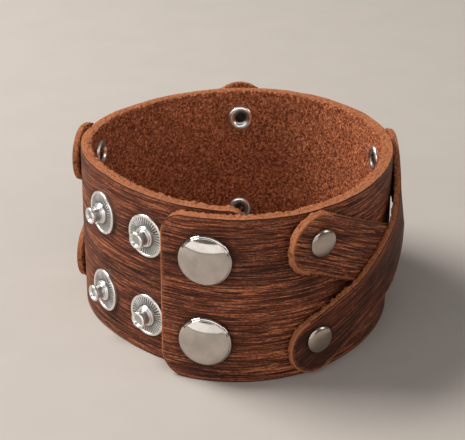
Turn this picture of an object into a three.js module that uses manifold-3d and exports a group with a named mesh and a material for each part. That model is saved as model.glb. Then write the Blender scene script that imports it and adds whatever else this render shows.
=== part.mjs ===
// Leather snap cuff, in millimetres, +Z up, standing on the lower edge of its band.
// One wide band wraps once round and overlaps itself in front, where two snaps close it.
// Two narrow straps zigzag round the outside, held by a rivet at each end and each turn.
//
// Places on the leather are given on its flat pattern: "along" is the length from the band's
// outer end, measured on its outer face, "height" is above the lower edge, and "out" is the
// distance outside that face.

import * as THREE from 'three';
import { mergeVertices } from 'three/addons/utils/BufferGeometryUtils.js';
import Module from 'manifold-3d';

const wasm = await Module();
wasm.setup();

// Gap that pieces keep where one seats on or passes through another, and how much deeper than
// the leather's own curve a flat piece is pressed in
const clearance = 0.3;
const pressMargin = 0.16;

// Band: a spiral of leather, its second layer one gap inside the first
const bandHeight = 38;
const bandLeather = 2.65;
const ringRadius = 35.65;
const layerGap = 1.45;
const outerEndAngle = -23.7;
const outerCornerRadius = 5.5;
const innerCornerRadius = 5;

// The ring's form, out of round: each row bulges the radius by a share of it, as many times
// round as it has waves, with one crest at an angle from the front middle
const ringLobes = [
  { waves: 2, share: 0.024, crest: -4 },
  { waves: 3, share: 0.025, crest: 17 },
  { waves: 4, share: 0.012, crest: -3 },
];

// Snap columns and rows
const capToOuterEnd = 10.1;
const snapRowSpacing = 18.9;
const studPitch = 15.2;
const studColumns = 3;
const studToInnerEnd = 8.7;

// Snap cap, its tube through the outer layer, and the socket ring behind that layer
const capDiameter = 11.2;
const capHeight = 2.1;
const tubeWall = 0.4;
const socketDiameter = 10;
const socketThickness = 0.4;

// Snap stud, hollow for the stem of the flat back that holds it
const studFlangeDiameter = 10.1;
const studFlangeThickness = 0.45;
const studHubDiameter = 6;
const studHubHeight = 0.75;
const studHeight = 3.4;
const studNeckDiameter = 3.1;
const studHeadDiameter = 3.7;
const studHeadHeight = 0.75;
const studTipRecess = 0.4;
const stemDiameter = 1.6;
const backDiameter = 8.8;
const backThickness = 0.5;

// Straps
const strapWidth = 13;
const strapLeather = 1.7;
const capToFirstRivet = 24;
const lastRivetToStud = 26.8;
const crossingMargin = 1;
const crossingRamp = 12;

// Stations of the straps: how far each lies along their run, and the heights there of the two
// rivets and of the two straps' middle lines, as shares of the band's height
const stations = [
  { run: 0, upperRivet: 0.826, lowerRivet: 0.232, upperStrap: 0.826, lowerStrap: 0.197 },
  { run: 0.339, upperRivet: 0.832, lowerRivet: 0.182, upperStrap: 0.832, lowerStrap: 0.189 },
  { run: 0.676, upperRivet: 0.821, lowerRivet: 0.176, upperStrap: 0.854, lowerStrap: 0.189 },
  { run: 1, upperRivet: 0.842, lowerRivet: 0.182, upperStrap: 0.842, lowerStrap: 0.189 },
];

// Rivets: a domed cap with a stem, and a hollow back with a rolled rim
const rivetCapDiameter = 6.2;
const rivetCapHeight = 1.15;
const rivetStemDiameter = 1.5;
const rivetStemEnd = 1.2;
const rivetTubeWall = 0.4;
const rivetBackDiameter = 5.5;
const rivetBackHeight = 0.85;

// Fineness of the solids
const pathStep = 0.5;
const bandStep = 3.4;
const shortestSection = 0.2;
const strapStep = 3;
const cornerSteps = 4;
const snapCapSides = 28;
const snapSides = 16;
const rivetSides = 12;
const shortestEdge = 0.002;

// Path of the band's outer face, seen from above

const spiralPitch = bandLeather + layerGap;

// Radius after a travel in degrees from the outer end: the lobed ring, one pitch smaller after
// each turn, and true to its named radius after half a turn
function spiralRadius(travel) {
  const angle = outerEndAngle + travel;
  const bulge = ringLobes.reduce((sum, lobe) => {
    return sum + lobe.share * Math.cos(THREE.MathUtils.degToRad(lobe.waves * (angle - lobe.crest)));
  }, 0);
  return ringRadius * (1 + bulge) + spiralPitch * (0.5 - travel / 360);
}

// Angle 0 is the front middle, towards -Y, and angles grow towards +X
function spiralPoint(travel) {
  const angle = THREE.MathUtils.degToRad(outerEndAngle + travel);
  const radius = spiralRadius(travel);
  return new THREE.Vector2(radius * Math.sin(angle), -radius * Math.cos(angle));
}

// Length along the path at every step of travel, over one turn and a half
const travels = [0];
const lengths = [0];
for (let travel = pathStep; travel <= 540; travel += pathStep) {
  const stepLength = spiralPoint(travel).distanceTo(spiralPoint(travel - pathStep));
  travels.push(travel);
  lengths.push(lengths[lengths.length - 1] + stepLength);
}

function lookUp(value, from, to) {
  const firstAbove = from.findIndex((entry) => entry > value);
  const after = firstAbove === -1 ? from.length - 1 : Math.max(firstAbove, 1);
  const share = (value - from[after - 1]) / (from[after] - from[after - 1]);
  return to[after - 1] + share * (to[after] - to[after - 1]);
}

// The path's point, direction and outward normal at a place along it
function pathFrame(along) {
  const travel = lookUp(along, lengths, travels);
  const step = spiralPoint(travel + pathStep).sub(spiralPoint(travel - pathStep)).normalize();
  return {
    point: spiralPoint(travel),
    tangent: new THREE.Vector3(step.x, step.y, 0),
    normal: new THREE.Vector3(step.y, -step.x, 0),
  };
}

function onBand(along, height, out) {
  const { point, normal } = pathFrame(along);
  return new THREE.Vector3(point.x, point.y, height).addScaledVector(normal, out);
}

// Frame of a round piece: its X axis runs along the leather and its Y axis points out of it
function seatFrame(along, height, out) {
  const { tangent, normal } = pathFrame(along);
  const across = new THREE.Vector3().crossVectors(tangent, normal);
  return new THREE.Matrix4().makeBasis(tangent, normal, across).setPosition(onBand(along, height, out));
}

// Lengths that follow from the sizes

const capTravel = lookUp(capToOuterEnd, lengths, travels);
const firstStudAlong = lookUp(capTravel + 360, travels, lengths);
const lastStudAlong = firstStudAlong - (studColumns - 1) * studPitch;
const bandLength = firstStudAlong + studToInnerEnd;
const firstRivetAlong = capToOuterEnd + capToFirstRivet;
const rivetRun = lastStudAlong - lastRivetToStud - firstRivetAlong;
// Depth of a flat-bottomed seat that lies all within the outside of the curved leather, and how
// far the piece in it sinks below that face
const seatDepth = (diameter) => (diameter / 2 + clearance) ** 2 / (2 * ringRadius) + pressMargin;
const capSink = seatDepth(capDiameter) - clearance;
const studSink = seatDepth(studFlangeDiameter) - clearance;
const studTop = studHeight - studSink;
const tubeBore = studHeadDiameter / 2 + clearance;
const tubeRadius = tubeBore + tubeWall;
const rivetTubeBore = rivetStemDiameter / 2 + clearance;
const rivetTubeRadius = rivetTubeBore + rivetTubeWall;
const snapRows = {
  upper: (bandHeight + snapRowSpacing) / 2,
  lower: (bandHeight - snapRowSpacing) / 2,
};

// Solids

// A geometry's triangles with the corners that nearly meet made one, and the flat ones dropped
function mergedTriangles(geometry, nearness) {
  const merged = mergeVertices(geometry, nearness);
  const corners = merged.index.array;
  const triangles = [];
  for (let first = 0; first < corners.length; first += 3) {
    const [a, b, c] = corners.slice(first, first + 3);
    if (a !== b && b !== c && c !== a) triangles.push(a, b, c);
  }
  return { positions: new Float32Array(merged.attributes.position.array), triangles: new Uint32Array(triangles) };
}

function toSolid(geometry) {
  const bare = geometry.clone();
  bare.deleteAttribute('normal');
  bare.deleteAttribute('uv');
  const { positions, triangles } = mergedTriangles(bare, 1e-5);
  return new wasm.Manifold(new wasm.Mesh({ numProp: 3, vertProperties: positions, triVerts: triangles }));
}

function toGeometry(solid) {
  const mesh = solid.getMesh();
  const raw = new THREE.BufferGeometry();
  raw.setAttribute('position', new THREE.BufferAttribute(mesh.vertProperties, 3));
  raw.setIndex(new THREE.BufferAttribute(mesh.triVerts, 1));
  const { positions, triangles } = mergedTriangles(raw, shortestEdge);
  const geometry = new THREE.BufferGeometry();
  geometry.setAttribute('position', new THREE.BufferAttribute(positions, 3));
  geometry.setIndex(new THREE.BufferAttribute(triangles, 1));
  geometry.computeVertexNormals();
  return geometry;
}

// Leather lofted through upright sections. A section is a list of columns from low to high,
// each with a point on the outer face and one on the inner face.
function loftLeather(sections) {
  const columns = sections[0].length;
  const corners = 2 * columns;
  const positions = [];
  const indices = [];
  for (const section of sections) {
    const outer = section.map((column) => column.outer);
    const inner = section.map((column) => column.inner).reverse();
    for (const point of [...outer, ...inner]) {
      positions.push(point.x, point.y, point.z);
    }
  }
  const quad = (a, b, c, d) => indices.push(a, b, c, a, c, d);
  for (let row = 0; row < sections.length - 1; row += 1) {
    const start = row * corners;
    for (let corner = 0; corner < corners; corner += 1) {
      const next = (corner + 1) % corners;
      quad(start + corner, start + corners + corner, start + corners + next, start + next);
    }
  }
  const last = (sections.length - 1) * corners;
  for (let column = 0; column < columns - 1; column += 1) {
    const inner = corners - 1 - column;
    quad(column, column + 1, inner - 1, inner);
    quad(last + column, last + inner, last + inner - 1, last + column + 1);
  }
  const geometry = new THREE.BufferGeometry();
  geometry.setAttribute('position', new THREE.Float32BufferAttribute(positions, 3));
  geometry.setIndex(indices);
  return toSolid(geometry);
}

// A turned solid about the seat's Y axis. The profile's rows run anticlockwise, from low to
// high on the outside; it ends on the axis or closes on itself.
function turned(profile, sides) {
  const points = profile.map(([radius, height]) => new THREE.Vector2(radius, height));
  const closed = profile[0][0] > 0;
  if (closed) points.push(points[0].clone());
  return toSolid(new THREE.LatheGeometry(points, sides));
}

// A round cutter from one distance along a seat's Y axis to another. A quarter of a side's turn
// keeps its sides and corners off the upright lines of the leather.
function roundCutter(frame, radius, from, to, sides) {
  const cutter = new THREE.CylinderGeometry(radius, radius, to - from, sides);
  cutter.rotateY(Math.PI / (2 * sides));
  cutter.translate(0, (from + to) / 2, 0);
  cutter.applyMatrix4(frame);
  return toSolid(cutter);
}

function cut(solid, cutters) {
  return cutters.reduce((rest, cutter) => rest.subtract(cutter), solid);
}

function piece(name, solid, material, frame = new THREE.Matrix4()) {
  const mesh = new THREE.Mesh(toGeometry(solid), material);
  mesh.name = name;
  mesh.applyMatrix4(frame);
  return mesh;
}

// Materials

function leather(color) {
  return new THREE.MeshStandardMaterial({ color, roughness: 0.8, metalness: 0, flatShading: true });
}

function nickel() {
  return new THREE.MeshStandardMaterial({ color: 0xc9c6c0, roughness: 0.2, metalness: 1, flatShading: true });
}

// Places along from one to another, no further apart than a step, without the last one
function placesBetween(from, to, step) {
  const count = Math.max(1, Math.ceil((to - from) / step));
  return Array.from({ length: count }, (_, index) => from + ((to - from) * index) / count);
}

// Band

// How far a round corner draws the edges in, at a distance from the end of the leather
function cornerInset(fromEnd, radius) {
  const share = Math.max(0, 1 - fromEnd / radius);
  return radius * (1 - Math.sqrt(1 - share ** 2));
}

// Places of the band's sections: at its corners, at the same shares of each round seat, which
// keeps the edges of the cuts clear of them, and evenly between
function bandPlaces() {
  const corner = Array.from({ length: cornerSteps + 1 }, (_, index) => {
    return 1 - Math.cos((Math.PI / 2) * (index / cornerSteps));
  });
  const snapShares = [-1.25, -0.55, 0, 0.55, 1.25];
  const rivetShares = [-1.35, 0, 1.35];
  const fixed = [
    ...corner.map((share) => share * outerCornerRadius),
    ...snapShares.map((share) => capToOuterEnd + (share * capDiameter) / 2),
    ...stations.flatMap((station) => rivetShares.map((share) => {
      return firstRivetAlong + rivetRun * station.run + (share * rivetBackDiameter) / 2;
    })),
    ...snapShares.flatMap((share) => Array.from({ length: studColumns }, (_, column) => {
      return firstStudAlong - column * studPitch + (share * studFlangeDiameter) / 2;
    })),
    ...corner.map((share) => bandLength - share * innerCornerRadius),
  ].sort((a, b) => a - b);
  const apart = fixed.filter((place, index) => {
    return index === 0 || index === fixed.length - 1 || place - fixed[index - 1] > shortestSection;
  });
  const between = apart.slice(1).flatMap((place, index) => placesBetween(apart[index], place, bandStep));
  return [...between, bandLength];
}

function bandBlank() {
  return loftLeather(bandPlaces().map((along) => {
    const inset = cornerInset(along, outerCornerRadius)
      + cornerInset(bandLength - along, innerCornerRadius);
    return [inset, bandHeight - inset].map((height) => ({
      outer: onBand(along, height, 0),
      inner: onBand(along, height, -bandLeather),
    }));
  }));
}

// Snaps

const capFrame = (height) => seatFrame(capToOuterEnd, height, 0);

// The first column of studs lies under the caps, on their axes, and the others follow it
function studFrame(column, height) {
  if (column === 0) {
    return capFrame(height).multiply(new THREE.Matrix4().makeTranslation(0, -spiralPitch, 0));
  }
  return seatFrame(firstStudAlong - column * studPitch, height, 0);
}

function capCuts(height) {
  const frame = capFrame(height);
  const behind = -bandLeather - layerGap / 2;
  return [
    roundCutter(frame, capDiameter / 2 + clearance, -seatDepth(capDiameter), capHeight, snapSides),
    roundCutter(frame, tubeRadius + clearance, behind, capHeight, snapSides),
    roundCutter(frame, socketDiameter / 2 + clearance, behind, clearance - bandLeather, snapSides),
  ];
}

function studCuts(column, height) {
  const frame = studFrame(column, height);
  const front = layerGap / 2;
  const behind = -bandLeather - 2 * backThickness;
  return [
    roundCutter(frame, studFlangeDiameter / 2 + clearance, -seatDepth(studFlangeDiameter), front, snapSides),
    roundCutter(frame, stemDiameter / 2 + clearance, behind, front, snapSides),
    roundCutter(frame, backDiameter / 2 + clearance, behind, clearance - bandLeather, snapSides),
  ];
}

// Dome with a rolled edge, and a tube through the leather that takes the stud's head
function snapCap() {
  const radius = capDiameter / 2;
  return turned([
    [0, -capSink],
    [tubeBore, -capSink],
    [tubeBore, -bandLeather - socketThickness],
    [tubeRadius, -bandLeather - socketThickness],
    [tubeRadius, -capSink],
    [radius * 0.93, -capSink],
    [radius, capHeight * 0.16 - capSink],
    [radius, capHeight * 0.4 - capSink],
    [radius * 0.92, capHeight * 0.66 - capSink],
    [radius * 0.74, capHeight * 0.86 - capSink],
    [radius * 0.42, capHeight * 0.97 - capSink],
    [0, capHeight - capSink],
  ], snapCapSides);
}

function snapSocket() {
  const back = -bandLeather;
  const front = back - socketThickness;
  const hole = tubeRadius + clearance;
  return turned([
    [hole, front],
    [socketDiameter / 2, front],
    [socketDiameter / 2, back],
    [hole, back],
  ], snapSides);
}

// Flange, hub, and a post with a neck and a wider head
function snapStud() {
  const bore = stemDiameter / 2 + clearance;
  const neck = studNeckDiameter / 2;
  const head = studHeadDiameter / 2;
  const bevel = (studHeadDiameter - studNeckDiameter) / 2;
  return turned([
    [bore, -studSink],
    [studFlangeDiameter / 2, -studSink],
    [studFlangeDiameter / 2, studFlangeThickness - studSink],
    [studHubDiameter / 2, studFlangeThickness - studSink],
    [studHubDiameter * 0.46, studHubHeight - studSink],
    [neck, studHubHeight - studSink],
    [neck, studTop - studHeadHeight - bevel],
    [head, studTop - studHeadHeight],
    [head, studTop - bevel],
    [head - bevel, studTop],
    [bore, studTop],
  ], snapSides);
}

// Flat back inside the band, its stem passing through the leather and up the stud
function snapPost() {
  const radius = backDiameter / 2;
  const stem = stemDiameter / 2;
  return turned([
    [0, -bandLeather - backThickness],
    [radius * 0.85, -bandLeather - backThickness],
    [radius, -bandLeather - backThickness * 0.6],
    [radius, -bandLeather],
    [stem, -bandLeather],
    [stem, studTop - studTipRecess],
    [0, studTop - studTipRecess],
  ], rivetSides);
}

// Straps

// Middle line of a strap: a corner at each station, by turns near the lower and upper edge
function strapLine(startsLow) {
  return stations.map((station, index) => {
    const low = (index % 2 === 0) === startsLow;
    return {
      along: firstRivetAlong + rivetRun * station.run,
      height: bandHeight * (low ? station.lowerStrap : station.upperStrap),
      rivetHeight: bandHeight * (low ? station.lowerRivet : station.upperRivet),
      row: low ? 'lower' : 'upper',
    };
  });
}

const underLine = strapLine(false);
const overLine = strapLine(true);

// Lower and upper edge of a strap of even width, round at its ends and outer corners
function strapEdges(line, along) {
  const radius = strapWidth / 2;
  const edges = { low: Infinity, high: -Infinity };
  line.forEach((corner, index) => {
    const aside = Math.abs(along - corner.along);
    if (aside < radius) {
      const half = Math.sqrt(radius ** 2 - aside ** 2);
      edges.low = Math.min(edges.low, corner.height - half);
      edges.high = Math.max(edges.high, corner.height + half);
    }
    if (index === 0) return;
    const before = line[index - 1];
    const run = corner.along - before.along;
    const rise = corner.height - before.height;
    const shift = (radius * rise) / Math.hypot(run, rise);
    const drop = (radius * run) / Math.hypot(run, rise);
    const middle = before.height + ((along - before.along) * rise) / run;
    if (along >= before.along - shift && along <= corner.along - shift) {
      edges.high = Math.max(edges.high, middle + drop + (shift * rise) / run);
    }
    if (along >= before.along + shift && along <= corner.along + shift) {
      edges.low = Math.min(edges.low, middle - drop - (shift * rise) / run);
    }
  });
  return edges;
}

function distanceToLine(line, along, height) {
  return Math.min(...line.slice(1).map((corner, index) => {
    const from = new THREE.Vector3(line[index].along, line[index].height, 0);
    const to = new THREE.Vector3(corner.along, corner.height, 0);
    const place = new THREE.Vector3(along, height, 0);
    return new THREE.Line3(from, to).closestPointToPoint(place, true, new THREE.Vector3()).distanceTo(place);
  }));
}

// How far a strap's inner face lies outside the band: clear of it, standing off straight past
// the rivets at its ends, and for the strap on top, lifted over the one below
function strapOut(line, along, height) {
  const pastEnd = Math.max(0, line[0].along - along, along - line[line.length - 1].along);
  const resting = clearance + pastEnd ** 2 / (2 * ringRadius);
  if (line === underLine) return resting;
  const clearOfLower = distanceToLine(underLine, along, height) - strapWidth / 2 - crossingMargin;
  const lift = 1 - THREE.MathUtils.smoothstep(clearOfLower, 0, crossingRamp);
  return resting + (strapLeather + clearance) * lift;
}

function strapBlank(line) {
  const radius = strapWidth / 2;
  const endShares = [0.98, 0.87, 0.68, 0.45];
  const bendShares = [-0.45, -0.22, 0, 0.22];
  const bendEnd = 0.45 * radius;
  const places = endShares.slice(0, -1).map((share) => line[0].along - share * radius);
  line.forEach((corner, index) => {
    places.push(...bendShares.map((share) => corner.along + share * radius));
    if (index < line.length - 1) {
      places.push(...placesBetween(corner.along + bendEnd, line[index + 1].along - bendEnd, strapStep));
    }
  });
  places.push(...endShares.reverse().map((share) => line[line.length - 1].along + share * radius));
  return loftLeather(places.map((along) => {
    const { low, high } = strapEdges(line, along);
    return [low, (low + high) / 2, high].map((height) => {
      const out = strapOut(line, along, height);
      return {
        outer: onBand(along, height, out + strapLeather),
        inner: onBand(along, height, out),
      };
    });
  }));
}

// Rivets

// Depth from the underside of a rivet's cap to the inner face of the band
const rivetGrip = strapLeather + clearance + bandLeather;

function rivetFrame(line, corner) {
  const out = strapOut(line, corner.along, corner.rivetHeight);
  return seatFrame(corner.along, corner.rivetHeight, out + strapLeather);
}

function rivetCuts(line, corner) {
  const frame = rivetFrame(line, corner);
  const inside = -rivetGrip - 2 * rivetBackHeight;
  return [
    roundCutter(frame, rivetCapDiameter / 2 + clearance, -clearance, rivetCapHeight, rivetSides),
    roundCutter(frame, rivetTubeRadius + clearance, inside, rivetCapHeight, rivetSides),
    roundCutter(frame, rivetBackDiameter / 2 + clearance, inside, clearance - rivetGrip, rivetSides),
  ];
}

function rivetCap() {
  const radius = rivetCapDiameter / 2;
  const stem = rivetStemDiameter / 2;
  return turned([
    [0, rivetStemEnd - rivetGrip],
    [stem, rivetStemEnd - rivetGrip],
    [stem, 0],
    [radius * 0.94, 0],
    [radius, rivetCapHeight * 0.25],
    [radius * 0.84, rivetCapHeight * 0.65],
    [radius * 0.5, rivetCapHeight * 0.92],
    [0, rivetCapHeight],
  ], rivetSides);
}

// Tube round the cap's stem, opening inside the band into a rolled rim round a funnel
function rivetPost() {
  const radius = rivetBackDiameter / 2;
  return turned([
    [rivetTubeBore, -rivetGrip - rivetBackHeight * 0.3],
    [radius * 0.55, -rivetGrip - rivetBackHeight * 0.8],
    [radius * 0.75, -rivetGrip - rivetBackHeight],
    [radius * 0.93, -rivetGrip - rivetBackHeight * 0.8],
    [radius, -rivetGrip - rivetBackHeight * 0.35],
    [radius * 0.92, -rivetGrip],
    [rivetTubeRadius, -rivetGrip],
    [rivetTubeRadius, -clearance],
    [rivetTubeBore, -clearance],
  ], rivetSides);
}

// The whole cuff

const pieces = new THREE.Group();
const straps = [
  { name: 'strap_under', line: underLine },
  { name: 'strap_over', line: overLine },
];
const bandCuts = [];

for (const [row, height] of Object.entries(snapRows)) {
  bandCuts.push(...capCuts(height));
  pieces.add(piece(`snap_cap_${row}`, snapCap(), nickel(), capFrame(height)));
  pieces.add(piece(`snap_socket_${row}`, snapSocket(), nickel(), capFrame(height)));
  for (let column = 0; column < studColumns; column += 1) {
    bandCuts.push(...studCuts(column, height));
    pieces.add(piece(`snap_stud_${column + 1}_${row}`, snapStud(), nickel(), studFrame(column, height)));
    pieces.add(piece(`snap_post_${column + 1}_${row}`, snapPost(), nickel(), studFrame(column, height)));
  }
}

for (const { name, line } of straps) {
  const strapCuts = [];
  line.forEach((corner, index) => {
    const frame = rivetFrame(line, corner);
    const [seatCut, holeCut, backCut] = rivetCuts(line, corner);
    strapCuts.push(seatCut, holeCut);
    bandCuts.push(holeCut, backCut);
    pieces.add(piece(`rivet_cap_${index + 1}_${corner.row}`, rivetCap(), nickel(), frame));
    pieces.add(piece(`rivet_post_${index + 1}_${corner.row}`, rivetPost(), nickel(), frame));
  });
  pieces.add(piece(name, cut(strapBlank(line), strapCuts), leather(0x6d3a26)));
}

pieces.add(piece('cuff_band', cut(bandBlank(), bandCuts), leather(0x5c3022)));

// The origin is the middle of the cuff's box, at the level that it stands on
const box = new THREE.Box3().setFromObject(pieces, true);
const centre = box.getCenter(new THREE.Vector3());
pieces.position.set(-centre.x, -centre.y, -box.min.z);

const cuff = new THREE.Group();
cuff.add(pieces);

export default cuff;
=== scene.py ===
# Leather snap cuff: the looks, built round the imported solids.
# Leather is worked out in millimetres on its flat pattern: "along" or s runs from the band's outer
# end, "height" or z is above the lower edge, and "out" is the distance outside the band's outer
# face. Angles in the tables are in degrees.
import bmesh
import bpy
import math
import numpy as np
from mathutils import Matrix, Vector


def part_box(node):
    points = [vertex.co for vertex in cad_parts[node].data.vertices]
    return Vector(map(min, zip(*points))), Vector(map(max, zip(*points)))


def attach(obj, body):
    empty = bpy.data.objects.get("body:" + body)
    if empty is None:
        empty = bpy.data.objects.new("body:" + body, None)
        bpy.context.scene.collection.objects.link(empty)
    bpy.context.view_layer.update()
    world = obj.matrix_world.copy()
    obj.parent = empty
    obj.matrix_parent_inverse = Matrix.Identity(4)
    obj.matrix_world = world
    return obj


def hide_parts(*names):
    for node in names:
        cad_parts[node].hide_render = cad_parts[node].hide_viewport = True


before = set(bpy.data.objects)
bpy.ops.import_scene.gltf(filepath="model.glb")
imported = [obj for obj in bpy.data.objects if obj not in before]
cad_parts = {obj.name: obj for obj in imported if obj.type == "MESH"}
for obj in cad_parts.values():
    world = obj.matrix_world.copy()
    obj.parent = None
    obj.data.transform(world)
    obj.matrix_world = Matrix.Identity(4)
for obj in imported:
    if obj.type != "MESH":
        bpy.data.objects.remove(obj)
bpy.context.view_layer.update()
mm = 0.001
dice = np.random.default_rng(7)
print("frame loaded:", len(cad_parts), "nodes")

# Layout: the path of the band's outer face, seen from above, and the places of the snaps on it

band = {
    "height": 38.0,
    "leather": 2.65,
    "ringRadius": 35.65,
    "layerGap": 1.45,
    "outerEndAngle": -23.7,
    "outerCorner": 5.5,
    "innerCorner": 5.0,
    "grainRound": 0.26,
    "fleshRound": 0.6,
    "splay": 0.0,
    "sunk": 0.1,
    "lowRise": 0.05,
    "nap": 0.10,
    "rimSteps": 9,
    "rowStep": 0.37,
    "columnStep": 0.9,
    "evenRowsFrom": 5.9,
    # Height, length, octaves and seed of the soft waves
    "faceWaves": (0.10, 30.0, 3, 13),
    "lowWaves": (0.05, 14.0, 3, 12),
    "highWaves": (0.10, 11.0, 3, 11),
    # Waves in a turn, share of the radius and angle of a crest
    "lobes": ((2, 0.024, -4.0), (3, 0.025, 17.0), (4, 0.012, -3.0)),
}
# A seat is its radius and how deep it is pressed
snap = {
    "capToEnd": 10.1,
    "rowSpacing": 18.9,
    "pitch": 15.2,
    "columns": 3,
    "lastToEnd": 8.7,
    "capSeat": (5.6, 0.22),
    "studSeat": (5.05, 0.18),
}
spiralPitch = band["leather"] + band["layerGap"]
travelStep = 0.25
lastTravel = 540.0


def spiralPoint(travel):
    # Radius: the ring's radius plus its lobes' cosines, less one pitch a turn. Angle 0 is towards
    # -Y.
    angle = band["outerEndAngle"] + travel
    bulge = sum(share * np.cos(np.radians(waves * (angle - crest)))
                for waves, share, crest in band["lobes"])
    radius = band["ringRadius"] * (1 + bulge) + spiralPitch * (0.5 - travel / 360)
    return np.stack([radius * np.sin(np.radians(angle)), -radius * np.cos(np.radians(angle))], -1)


travels = np.arange(0.0, lastTravel, travelStep)
pathSteps = np.linalg.norm(np.diff(spiralPoint(travels), axis=0), axis=1)
pathLengths = np.concatenate([[0.0], np.cumsum(pathSteps)])
capTravel = np.interp(snap["capToEnd"], pathLengths, travels)
firstStud = np.interp(capTravel + 360, travels, pathLengths)
bandLength = firstStud + snap["lastToEnd"]
snapHeights = {
    "upper": (band["height"] + snap["rowSpacing"]) / 2,
    "lower": (band["height"] - snap["rowSpacing"]) / 2,
}

# The frame's origin is the middle of the whole cuff's box, so the path is moved to the band's node
boxStep = 0.1
wholeBand = spiralPoint(np.interp(np.arange(0, bandLength, boxStep), pathLengths, travels))
bandBox = np.array([list(corner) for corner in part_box("cuff_band")])[:, :2] / mm
ringShift = bandBox.mean(0) - (wholeBand.min(0) + wholeBand.max(0)) / 2
print("ring centre at", ringShift.round(2), "mm")


def pathFrame(along):
    # Point, unit tangent and outward normal: the spiral at the travel whose length is "along"
    travel = np.interp(along, pathLengths, travels)
    step = spiralPoint(travel + travelStep) - spiralPoint(travel - travelStep)
    tangent = step / np.linalg.norm(step, axis=-1, keepdims=True)
    normal = np.stack([tangent[..., 1], -tangent[..., 0]], -1)
    return spiralPoint(travel) + ringShift, tangent, normal


def onBand(along, height, out):
    # Place on the leather: the path's point moved out along its normal, at a height
    along, height, out = np.broadcast_arrays(along, height, out)
    point, _, normal = pathFrame(along)
    return np.concatenate([point + normal * out[..., None], height[..., None]], -1)


# Meshes

weldWithin = 2e-7


def meshPiece(name, points, faces, material, replaces, uv=None, values=None, weld=False):
    # Points in millimetres become a smooth mesh that rides on the cuff and stands for CAD nodes
    mesh = bpy.data.meshes.new(name)
    mesh.from_pydata((points.reshape(-1, 3) * mm).tolist(), [], faces.tolist())
    mesh.shade_smooth()
    if uv is not None:
        corners = np.zeros(len(mesh.loops), np.int32)
        mesh.loops.foreach_get("vertex_index", corners)
        layer = mesh.uv_layers.new(name="pattern")
        layer.uv.foreach_set("vector", uv.reshape(-1, 2)[corners].astype(np.float32).ravel())
    for key, array in (values or {}).items():
        layer = mesh.attributes.new(key, "FLOAT", "POINT")
        layer.data.foreach_set("value", np.ravel(array).astype(np.float32))
    if weld:
        shell = bmesh.new()
        shell.from_mesh(mesh)
        bmesh.ops.remove_doubles(shell, verts=shell.verts, dist=weldWithin)
        shell.to_mesh(mesh)
        shell.free()
    mesh.materials.append(material)
    piece = bpy.data.objects.new(name, mesh)
    bpy.context.scene.collection.objects.link(piece)
    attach(piece, "root")
    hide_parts(*replaces)
    return piece


def gridFaces(rows, columns):
    # Quads between neighbours of a grid whose last column joins its first
    row, column = np.meshgrid(np.arange(rows - 1), np.arange(columns), indexing="ij")
    here = row * columns + column
    beside = row * columns + (column + 1) % columns
    return np.stack([here, here + columns, beside + columns, beside], -1).reshape(-1, 4)


def smoothStep(value, low, high):
    # 3x^2 - 2x^3 of the value's share of the way from low to high
    share = np.clip((value - low) / (high - low), 0, 1)
    return share * share * (3 - 2 * share)


def softWaves(x, y, height, length, octaves, seed):
    # Height times a soft random relief: four cosines in random directions to each octave, which
    # halve in length and weight
    draws = np.random.default_rng(seed)
    total = 0.0
    for octave in range(octaves):
        for _ in range(4):
            angle, phase = draws.uniform(0, 2 * math.pi, 2)
            wave = 2 * math.pi * 2 ** octave / length
            reach = x * math.cos(angle) + y * math.sin(angle)
            total = total + np.cos(wave * reach + phase) / 2 ** octave
    return height * (total / 4)


def spread(start, end, step):
    # Even places from start to end, about a step apart
    return np.linspace(start, end, max(2, int(round((end - start) / step)) + 1))


# Leather sheets

sheetShape = {
    "seatFade": (-0.3, 1.7),
    "evenFrom": 1.9,
    # The cut edge: its roughness, with the height, length, octaves and seed of its clumps
    "roughFrom": (0.02, 0.6),
    "roughLimit": 0.3,
    "roughReach": 0.3,
    "broadClumps": (1.6, 1.9, 2, 21),
    "clumpShift": 3,
    "fineClumps": (1.1, 0.9, 1, 22),
    "cutMask": (0.25, 0.6),
    "grainCut": 0.8,
    # Its lean, which fades over the face and away from the first end
    "leanReach": 1.6,
    "leanWaves": (0.5, 5.0, 2, 23),
    "leanFade": (2.5, 7.5),
    "leanLost": 0.8,
    "slopeStep": 0.05,
    # The closed ends
    "lidRise": 0.4,
    "lidLimits": (-0.12, 0.3),
}
# Distances from an outline where the sheets have their finest rows
nearEdge = np.array([0.0, 0.02, 0.07, 0.15, 0.28, 0.42, 0.6, 0.9, 1.4])


def nearSeats(s, z, seats):
    # 1 under each snap or rivet, softly down to 0 a little beyond its edge
    inner, outer = sheetShape["seatFade"]
    return sum(1 - smoothStep(np.hypot(s - along, z - height), radius + inner, radius + outer)
               for along, height, radius, _ in seats)


def pressed(s, z, seats):
    # The leather is squeezed down round each snap or rivet by the seat's depth
    return sum(nearSeats(s, z, [each]) * each[3] for each in seats)


def sheetSection(size):
    # Once round an upright section: up the grain face, over the upper rim, down the flesh face and
    # under the lower rim. Gives the shares of the height and of the depth, the points in a face and
    # a rim's shares.
    evenFrom = sheetShape["evenFrom"]
    even = spread(evenFrom, size["height"] - evenFrom, size["columnStep"])
    face = np.concatenate([nearEdge, even, size["height"] - nearEdge[::-1]]) / size["height"]
    rim = np.linspace(0, 1, size["rimSteps"] + 2)[1:-1]
    share = np.concatenate([face, np.ones(len(rim)), face[::-1], np.zeros(len(rim))])
    depth = np.concatenate([np.zeros(len(face)), rim, np.ones(len(face)), rim[::-1]])
    return share, depth, len(face), rim


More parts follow.
